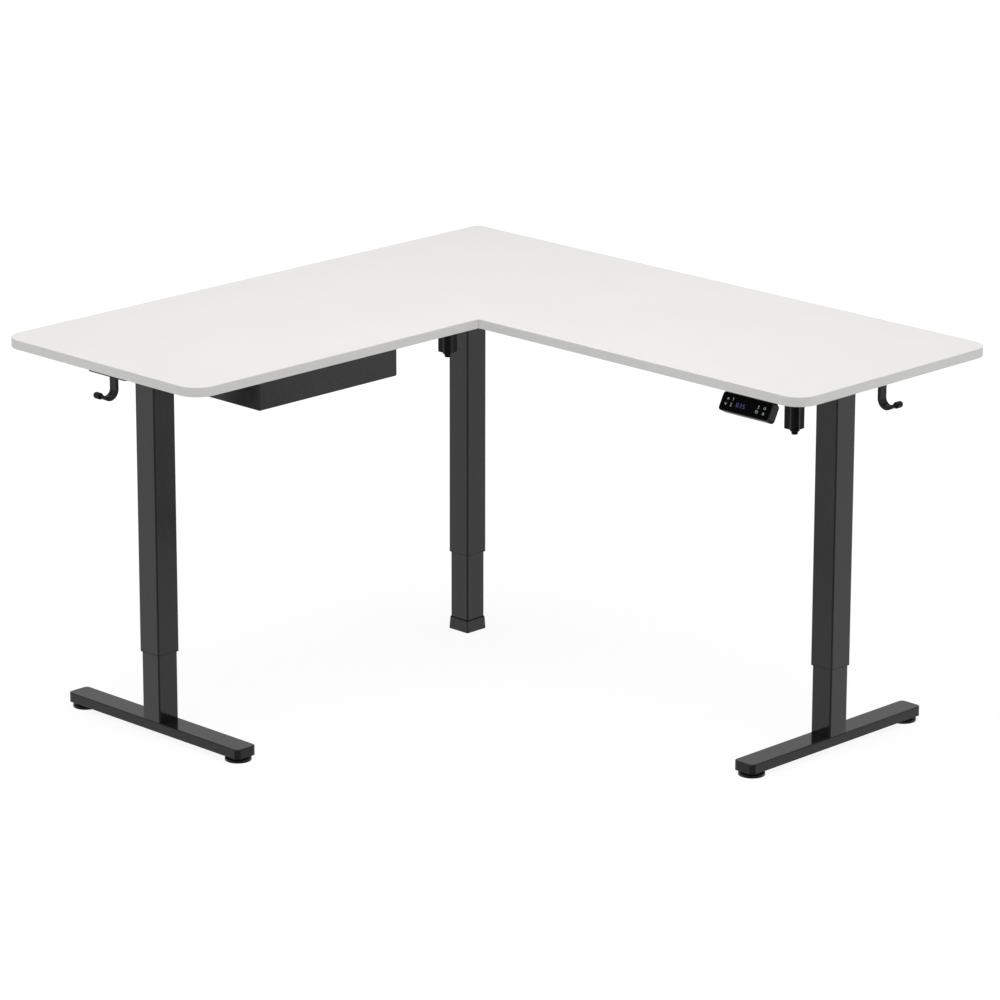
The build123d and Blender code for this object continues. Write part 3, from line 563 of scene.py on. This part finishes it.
def strip(path: np.ndarray, width: float, closed: bool) -> Shape:
    """Flat-topped stroke: a rectangle of unit height carried along a plane path.

    Each path point p with unit normal n gives the corners p +- n width/2 at heights 0 and 1; the
    normal is the mean of the two neighbouring runs' normals, lengthened so that the stroke keeps its width.

    Args:
        path: Plane points, one row each.
        width: Stroke width.
        closed: True if the path joins its start.

    Returns:
        Points (x, y, height) and quads of the closed stroke.
    """
    run = unit(np.roll(path, -1, axis=0) - path)
    before = np.roll(run, 1, axis=0)
    if not closed:
        run[-1] = before[-1]
        before[0] = run[0]
    side = unit(run + before)
    reach = width / 2 / np.maximum(np.sum(side * run, axis=1, keepdims=True), LEAST_MITRE)
    normal = np.stack([-side[:, 1], side[:, 0]], axis=1) * reach
    count = len(path)
    left, right = path + normal, path - normal
    rings = np.stack([left, right, right, left], axis=1)
    height = np.broadcast_to(np.array([0.0, 0.0, 1.0, 1.0]), (count, 4))
    points = np.concatenate([rings, height[..., None]], axis=2).reshape(-1, 3)
    start = np.arange(count if closed else count - 1)
    here, there = start[:, None] * 4, ((start + 1) % count)[:, None] * 4
    corner = np.arange(4)
    after = (corner + 1) % 4
    quads = np.stack([here + corner, here + after, there + after, there + corner], axis=2).reshape(-1, 4)
    if not closed:
        last = count * 4 - 4
        quads = np.concatenate([quads, [corner[::-1], last + corner]])
    return points, quads


def ring(box: np.ndarray, radius: float, profile: np.ndarray) -> Shape:
    """Profile carried round a square tube with rounded corners.

    A profile point (out, height) goes to corner centre + (radius + out)(cos a, sin a) at that height,
    where the angle a runs a quarter turn at each of the four corner centres.

    Args:
        box: Lowest and highest x and y of the tube.
        radius: Corner radius of the tube.
        profile: Closed outline as (out from the tube's wall, height), anticlockwise with out to the right.

    Returns:
        Points and quads of the closed ring.
    """
    (low_x, low_y), (high_x, high_y) = box[0] + radius, box[1] - radius
    centres = np.array([[high_x, high_y], [low_x, high_y], [low_x, low_y], [high_x, low_y]])
    sweep = np.linspace(0.0, QUARTER, CORNER_STEPS)
    angle = np.radians(sweep[None, :] + QUARTER * np.arange(len(centres))[:, None]).ravel()
    turn = np.stack([np.cos(angle), np.sin(angle)], axis=1)
    corner = centres.repeat(CORNER_STEPS, axis=0)
    flat = corner[:, None, :] + (radius + profile[None, :, :1]) * turn[:, None, :]
    around, along = len(angle), len(profile)
    height = np.broadcast_to(profile[None, :, 1:], (around, along, 1))
    points = np.concatenate([flat, height], axis=2).reshape(-1, 3)
    here, step = np.meshgrid(np.arange(around), np.arange(along), indexing="ij")
    there, next_step = (here + 1) % around, (step + 1) % along
    corners = [(here, step), (there, step), (there, next_step), (here, next_step)]
    quads = np.stack([row * along + column for row, column in corners], axis=2).reshape(-1, 4)
    return points, quads


def join(shapes: list[Shape]) -> Shape:
    """Put several shapes into one set of points and quads.

    Args:
        shapes: Points and quads of each shape.

    Returns:
        Points and quads of them all.
    """
    starts = np.cumsum([0] + [len(points) for points, quads in shapes[:-1]])
    all_points = np.concatenate([points for points, quads in shapes])
    all_quads = np.concatenate([quads + start for (points, quads), start in zip(shapes, starts)])
    return all_points, all_quads


# Sub-assemblies


@dataclass
class Worktop:
    """The two boards, their edge bands and the plates that join them."""

    boards: tuple[str, ...] = ("board_right", "board_left")
    bands: tuple[str, ...] = ("edge_band_right", "edge_band_left")
    fastenings: tuple[str, ...] = ("joining_plates", "screws_top")

    def build(self) -> None:
        """Dress the boards, the bands, the joining plates and the wood screws."""
        dress(self.boards, LAMINATE)
        dress(self.bands, BAND)
        dress(self.fastenings, ZINC)


@dataclass
class UnderFrame:
    """Rails, brackets, plates and bolts under the top."""

    rails: tuple[str, ...] = ("rail_left", "rail_right", "side_bracket_left", "side_bracket_right")
    bolts: tuple[str, ...] = ("bolts_frame",)

    def build(self) -> None:
        """Dress the steel frame and its bolts."""
        dress(self.rails, COAT)
        dress([f"top_plate_{leg.value}" for leg in LegName], COAT)
        dress(self.bolts, ZINC)


@dataclass
class Leg:
    """One telescopic leg with its drive."""

    finishes: ClassVar[dict[str, Finish]] = {
        "outer_tube": COAT, "gear_housing": COAT, "inner_tube": INNER, "motor": MOTOR,
        "guide_bush": MOULDED, "drive_nut": MOULDED, "spindle": SCREW, "pinion": GEAR, "idler": IDLER,
    }

    name: LegName

    def build(self) -> None:
        """Dress the tubes and the drive unit."""
        for piece, finish in self.finishes.items():
            dress((f"{piece}_{self.name.value}",), finish)


@dataclass
class Feet:
    """Foot bars, levelling pads and the corner leg's cap with a near-black ring of painted shade at its top.
    Sizes in metres.
    """

    bars: tuple[str, ...] = ("foot_bar_left", "foot_bar_right")
    pads: tuple[str, ...] = (
        "level_foot_left_back", "level_foot_left_front", "level_foot_right_back", "level_foot_right_front",
    )
    tube_round: float = 3.0 * MM
    # Outline, as (out from the tube's wall, height) pairs, of the near-black ring that paints the shade line at
    # the cap's top
    shade_ring_profile: np.ndarray = field(
        default_factory=lambda: MM * np.array(
            [[0.05, -0.5], [1.7, -0.5], [1.7, 0.6], [1.1, 1.5], [0.5, 1.8], [0.05, 1.8]]
        )
    )

    def build(self) -> None:
        """Dress the feet and lay the ring of painted shade on the cap."""
        dress(self.bars, PRESSED)
        dress(self.pads, PAD)
        dress(("corner_foot",), CAP)
        self.lay_shade_ring()

    def lay_shade_ring(self) -> None:
        """Near-black ring round the corner leg's tube at the cap's top: painted shade for the dark line where
        the tube enters its cap.
        """
        tube, cap = (np.array(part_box(name)) for name in ("inner_tube_corner", "corner_foot"))
        points, quads = ring(tube[:, :2], self.tube_round, self.shade_ring_profile + np.array([0.0, cap[1, 2]]))
        make_piece("cap_shade_ring", points, quads, SHADE_RING, Body.CORNER_FOOT)


@dataclass
class Fittings:
    """Drawer, hooks and control box under the top."""

    runners: tuple[str, ...] = ("drawer_runner_left", "drawer_runner_right")
    hooks: tuple[str, ...] = ("hook_left", "hook_right")
    tips: tuple[str, ...] = ("hook_tip_left", "hook_tip_right")

    def build(self) -> None:
        """Dress the fittings."""
        dress(("drawer_tray",), FOLDED)
        dress(self.runners, RUNNER)
        dress(self.hooks, HOOK)
        dress(self.tips, TIP)
        dress(("control_box",), MOULDED)


@dataclass
class Handset:
    """Touch handset: its case, its pane and the marks on the pane.

    Sizes are in metres. Places are shares of the pane's width and height; digit_inset and digit_bold are in
    stroke widths.
    """

    tilt: float = math.radians(28.0)
    pane_thick: float = 1.6 * MM
    raise_by: float = 0.12 * MM
    stroke: float = 0.8 * MM
    digit_tall: float = 8.0 * MM
    digit_wide: float = 4.0 * MM
    digit_step: float = 8.8 * MM
    digit_lean: float = 0.08
    digit_inset: float = 0.6
    digit_bold: float = 1.15
    digits: tuple[int, ...] = (8, 3, 5)
    segments: tuple[str, ...] = (
        "abcdef", "bc", "abged", "abgcd", "fgbc", "afgcd", "afgedc", "abc", "abcdefg", "abcdfg",
    )
    icon: float = 7.0 * MM
    arc_points: int = 25
    places: dict[str, Span] = field(
        default_factory=lambda: {
            "up": (0.115, 0.68), "down": (0.095, 0.38), "one": (0.215, 0.7), "two": (0.205, 0.38),
            "display": (0.395, 0.44), "three": (0.745, 0.62), "ring": (0.735, 0.34),
            "bell": (0.875, 0.64), "lock": (0.875, 0.34),
        }
    )

    def build(self) -> None:
        """Dress case and pane and lay the marks on the pane."""
        dress(("handset_case",), SATIN)
        dress(("handset_face",), PANE)
        self.lay("handset_icons", join(self.icons()), ICON)
        self.lay("handset_digits", join(self.number()), DIGIT)

    def spot(self, name: str) -> np.ndarray:
        """Place of a mark on the pane.

        Args:
            name: Key of the mark in places.

        Returns:
            Metres across and up from the pane's middle.
        """
        low, high = (np.array(corner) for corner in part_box("handset_face"))
        wide = high[0] - low[0]
        tall = (high[2] - low[2] - self.pane_thick * math.sin(self.tilt)) / math.cos(self.tilt)
        across, up = self.places[name]
        return np.array([(across - 0.5) * wide, (up - 0.5) * tall])

    def lay(self, name: str, shape: Shape, finish: Lit) -> None:
        """Turn a flat shape onto the pane's front and make it a piece.

        A point goes to the middle of the pane's front plus its first value along x, its second up the tilted
        pane and its third, times raise_by, out of it.

        Args:
            name: Piece name.
            shape: Points (across, up, height share) and quads.
            finish: Finish of the marks.
        """
        low, high = (np.array(corner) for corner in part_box("handset_face"))
        out = np.array([0.0, -math.cos(self.tilt), math.sin(self.tilt)])
        up = np.array([0.0, math.sin(self.tilt), math.cos(self.tilt)])
        across = np.array([1.0, 0.0, 0.0])
        front = (low + high) / 2 + out * self.pane_thick / 2
        flat, quads = shape
        points = front + flat[:, :1] * across + flat[:, 1:2] * up + flat[:, 2:] * out * self.raise_by
        make_piece(name, points, quads, finish, Body.TOP)

    def line(self, name: str, path: list[Span], closed: bool = False) -> Shape:
        """Stroke of an icon from points given in shares of the icon's size."""
        return strip(self.spot(name) + np.array(path) * self.icon, self.stroke, closed)

    def arc(self, name: str, radius: float, start: float, sweep: float) -> Shape:
        """Arc of an icon: points (cos a, sin a) radius for the angles a of the sweep.

        Args:
            name: Key of the mark in places.
            radius: Radius as a share of the icon's size.
            start: First angle in degrees.
            sweep: Degrees that the arc runs; a full turn closes it.

        Returns:
            Points and quads of the stroke.
        """
        full = abs(sweep) >= FULL_TURN
        angle = np.radians(np.linspace(start, start + sweep, self.arc_points))
        if full:
            angle = angle[:-1]
        path = radius * np.stack([np.cos(angle), np.sin(angle)], axis=1)
        return strip(self.spot(name) + path * self.icon, self.stroke, full)

    def icons(self) -> list[Shape]:
        """Generic touch marks: arrows, preset numbers, a ring, a bell outline and a padlock outline."""
        two = [(-0.25, 0.25), (-0.05, 0.45), (0.2, 0.3), (0.15, 0.05), (-0.28, -0.42), (0.28, -0.42)]
        three = [(-0.25, 0.42), (0.25, 0.42), (-0.02, 0.1), (0.25, -0.12), (0.1, -0.42), (-0.25, -0.36)]
        return [
            self.line("up", [(-0.45, -0.15), (0.0, 0.35), (0.45, -0.15)]),
            self.line("up", [(0.0, -0.45), (0.0, 0.2)]),
            self.line("down", [(-0.45, 0.15), (0.0, -0.35), (0.45, 0.15)]),
            self.line("down", [(0.0, 0.45), (0.0, -0.2)]),
            self.line("one", [(-0.18, 0.25), (0.05, 0.45), (0.05, -0.45)]),
            self.line("two", two),
            self.line("three", three),
            self.arc("ring", 0.42, 0.0, FULL_TURN),
            self.line("ring", [(0.0, 0.25), (0.0, 0.0), (0.18, -0.1)]),
            self.arc("bell", 0.3, 0.0, 2 * QUARTER),
            self.line("bell", [(-0.3, 0.0), (-0.42, -0.25), (0.42, -0.25), (0.3, 0.0)]),
            self.line("bell", [(-0.1, -0.42), (0.1, -0.42)]),
            self.line("lock", [(-0.3, 0.05), (0.3, 0.05), (0.3, -0.42), (-0.3, -0.42)], True),
            self.arc("lock", 0.2, 0.0, 2 * QUARTER),
        ]

    def number(self) -> list[Shape]:
        """Seven-segment number with a decimal point before its last digit.

        A segment runs between two corners or side middles of the digit's box, shortened at both ends and
        leaned by a shift in x that grows with y.

        Returns:
            Points and quads of each segment and of the point.
        """
        ends = {
            "a": ((-1, 1), (1, 1)), "b": ((1, 1), (1, 0)), "c": ((1, 0), (1, -1)), "d": ((1, -1), (-1, -1)),
            "e": ((-1, -1), (-1, 0)), "f": ((-1, 0), (-1, 1)), "g": ((-1, 0), (1, 0)),
        }
        half = np.array([self.digit_wide, self.digit_tall]) / 2
        shapes = []
        for index, digit in enumerate(self.digits):
            middle = self.spot("display") + np.array([(index - 1) * self.digit_step, 0.0])
            for name in self.segments[digit]:
                path = np.array(ends[name], float) * half
                run = path[1] - path[0]
                inset = self.digit_inset * self.stroke * run / np.linalg.norm(run)
                path = path + np.stack([inset, -inset])
                path[:, 0] += self.digit_lean * path[:, 1]
                shapes.append(strip(middle + path, self.digit_bold * self.stroke, False))
        point = self.spot("display") + np.array([0.5 * self.digit_step, -half[1]])
        dot = np.array([[-0.5, 0.0], [0.5, 0.0]]) * self.stroke
        shapes.append(strip(point + dot, self.stroke, False))
        return shapes


@dataclass(frozen=True)
class Lamp:
    """A square soft lamp aimed at a point, unseen by the camera. Lengths in metres, power in watts."""

    name: str
    place: Triple
    aim: Triple
    side: float
    power: float

    def hang(self) -> None:
        """Make the lamp."""
        data = bpy.data.lights.new(self.name, "AREA")
        data.shape = "SQUARE"
        data.size = self.side
        data.energy = self.power
        lamp = bpy.data.objects.new(self.name, data)
        bpy.context.scene.collection.objects.link(lamp)
        lamp.location = self.place
        lamp.rotation_euler = (Vector(self.aim) - Vector(self.place)).to_track_quat("-Z", "Y").to_euler()
        lamp.visible_camera = False
        LOG.info("%s hung", self.name)


@dataclass
class Studio:
    """Floor, light and camera. Lengths in metres, angles in degrees.

    To the camera the floor shows shadow_share of its matt paint near the desk, and none past shadow_span. The
    mirror values are the world's strength for reflections: towards the front, and behind at low and at high
    directions, where back points behind the desk; steep_mirror is the share left steeply down. The turn,
    horizon and steep spans say where one changes into the next.
    """

    floor_reach: float = 40.0
    floor_drop: float = 0.3 * MM
    floor_white: float = 1.08
    floor_matt: float = 0.97
    shadow_share: float = 0.16
    shadow_span: Span = (1.3, 2.6)
    world_light: float = 0.45
    back: Triple = (-0.7071, 0.7071, 0.0)
    turn_low: Span = (-0.26, 0.12)
    turn_high: Span = (-0.3, 0.3)
    horizon: Span = (-0.05, 0.05)
    steep: Span = (-0.85, -0.42)
    front_mirror: float = 0.3
    low_mirror: float = 1.0
    sky_mirror: float = 0.7
    steep_mirror: float = 0.25
    lamps: tuple[Lamp, ...] = (
        Lamp("lamp_over", (0.2, -0.2, 3.6), (0.0, 0.0, 0.6), 3.2, 59.0),
        Lamp("lamp_left", (-0.9, -2.4, 0.9), (-0.45, -0.55, 0.5), 1.2, 3.0),
        Lamp("lamp_right", (2.4, 0.8, 0.9), (0.63, 0.4, 0.5), 1.2, 3.5),
    )
    eye: Triple = (6.99019, -7.07551, 3.47084)
    azimuth: float = 44.60
    elevation: float = 16.67
    roll: float = 0.12
    focal_px: float = 4971.7
    image_px: float = 1000.0
    sensor_mm: float = 36.0
    farthest: float = 100.0

    def build(self) -> None:
        """Make floor, world, lamps and camera."""
        self.floor()
        self.world()
        for lamp in self.lamps:
            lamp.hang()
        self.camera()

    def mirror_rays(self, tree: Tree, rays: bpy.types.Node) -> Socket:
        """One for the rays of reflections and see-through surfaces, nought for the others."""
        return combine(tree, "MAXIMUM", rays.outputs["Is Glossy Ray"], rays.outputs["Is Transmission Ray"])

    def floor(self) -> None:
        """Flat floor just under the feet."""
        flat = np.array([[-1.0, -1.0], [1.0, -1.0], [1.0, 1.0], [-1.0, 1.0]]) * self.floor_reach
        corners = np.column_stack([flat, np.full(4, -self.floor_drop)])
        mesh = bpy.data.meshes.new("floor")
        mesh.from_pydata(corners.tolist(), [], [[0, 1, 2, 3]])
        mesh.materials.append(self.floor_paint())
        floor = bpy.data.objects.new("floor", mesh)
        bpy.context.scene.collection.objects.link(floor)

    def floor_paint(self) -> bpy.types.Material:
        """Pale paint that keeps a soft share of the object's shadow; clear from below and to reflections.

        Returns:
            The floor's material.
        """
        made, tree, shader = new_material("pale_floor")
        tree.nodes.remove(shader)
        white = add_node(tree, "ShaderNodeEmission")
        white.inputs["Color"].default_value = (*grey(1.0), 1.0)
        white.inputs["Strength"].default_value = self.floor_white
        matt = add_node(tree, "ShaderNodeBsdfDiffuse")
        matt.inputs["Color"].default_value = (*grey(self.floor_matt), 1.0)
        far = add_node(tree, "ShaderNodeVectorMath", operation="LENGTH")
        link(tree, object_place(tree), far.inputs[0])
        rays = add_node(tree, "ShaderNodeLightPath")
        share = remap(tree, far.outputs["Value"], self.shadow_span, (1.0 - self.shadow_share, 1.0))
        mix = add_node(tree, "ShaderNodeMixShader")
        link(tree, combine(tree, "MULTIPLY", rays.outputs["Is Camera Ray"], share), mix.inputs["Fac"])
        link(tree, matt.outputs["BSDF"], mix.inputs[1])
        link(tree, white.outputs["Emission"], mix.inputs[2])
        below = add_node(tree, "ShaderNodeNewGeometry").outputs["Backfacing"]
        side = add_node(tree, "ShaderNodeMixShader")
        link(tree, combine(tree, "MAXIMUM", below, self.mirror_rays(tree, rays)), side.inputs["Fac"])
        link(tree, mix.outputs["Shader"], side.inputs[1])
        link(tree, add_node(tree, "ShaderNodeBsdfTransparent").outputs["BSDF"], side.inputs[2])
        link(tree, side.outputs["Shader"], tree.nodes["Material Output"].inputs["Surface"])
        return made

    def world(self) -> None:
        """White for the camera, plain soft light, and for mirrors a room dark in front and steeply down."""
        world = bpy.data.worlds.new("studio")
        bpy.context.scene.world = world
        world.use_nodes = True
        tree = world.node_tree
        back = tree.nodes["Background"]
        back.inputs["Color"].default_value = (*grey(1.0), 1.0)
        view = add_node(tree, "ShaderNodeTexCoord").outputs["Generated"]
        behind = add_node(tree, "ShaderNodeVectorMath", operation="DOT_PRODUCT")
        behind.inputs[1].default_value = self.back
        link(tree, view, behind.inputs[0])
        split = add_node(tree, "ShaderNodeSeparateXYZ")
        link(tree, view, split.inputs["Vector"])
        turned, raised = behind.outputs["Value"], split.outputs["Z"]
        low = remap(tree, turned, self.turn_low, (self.front_mirror, self.low_mirror))
        high = remap(tree, turned, self.turn_high, (self.front_mirror, self.sky_mirror))
        down = remap(tree, raised, self.steep, (self.steep_mirror, 1.0))
        room = remap(tree, raised, self.horizon, (combine(tree, "MULTIPLY", low, down), high))
        rays = add_node(tree, "ShaderNodeLightPath")
        eye, mirror = rays.outputs["Is Camera Ray"], self.mirror_rays(tree, rays)
        seen = combine(tree, "MAXIMUM", eye, combine(tree, "MULTIPLY", mirror, room))
        other = combine(tree, "SUBTRACT", 1.0, combine(tree, "MAXIMUM", eye, mirror))
        light = combine(tree, "MULTIPLY", other, self.world_light)
        link(tree, combine(tree, "ADD", seen, light), back.inputs["Strength"])

    def camera(self) -> None:
        """Camera at the photograph's eye, looking down its axis."""
        data = bpy.data.cameras.new("camera")
        data.sensor_width = self.sensor_mm
        data.lens = self.focal_px / self.image_px * self.sensor_mm
        data.clip_end = self.farthest
        turn, drop, roll = (math.radians(angle) for angle in (self.azimuth, self.elevation, self.roll))
        look = Vector((-math.sin(turn) * math.cos(drop), math.cos(turn) * math.cos(drop), -math.sin(drop)))
        aim = look.to_track_quat("-Z", "Y").to_matrix() @ Matrix.Rotation(roll, 3, "Z")
        camera = bpy.data.objects.new("camera", data)
        bpy.context.scene.collection.objects.link(camera)
        camera.matrix_world = Matrix.Translation(self.eye) @ aim.to_4x4()
        bpy.context.scene.camera = camera
        bpy.context.scene.view_settings.view_transform = "Standard"


def main() -> None:
    """Build and dress every sub-assembly, then the studio."""
    logging.basicConfig(level=logging.INFO, format="%(name)s: %(message)s")
    Worktop().build()
    UnderFrame().build()
    for name in LegName:
        Leg(name).build()
    Feet().build()
    Fittings().build()
    Handset().build()
    Studio().build()


if __name__ == "__main__":
    main()
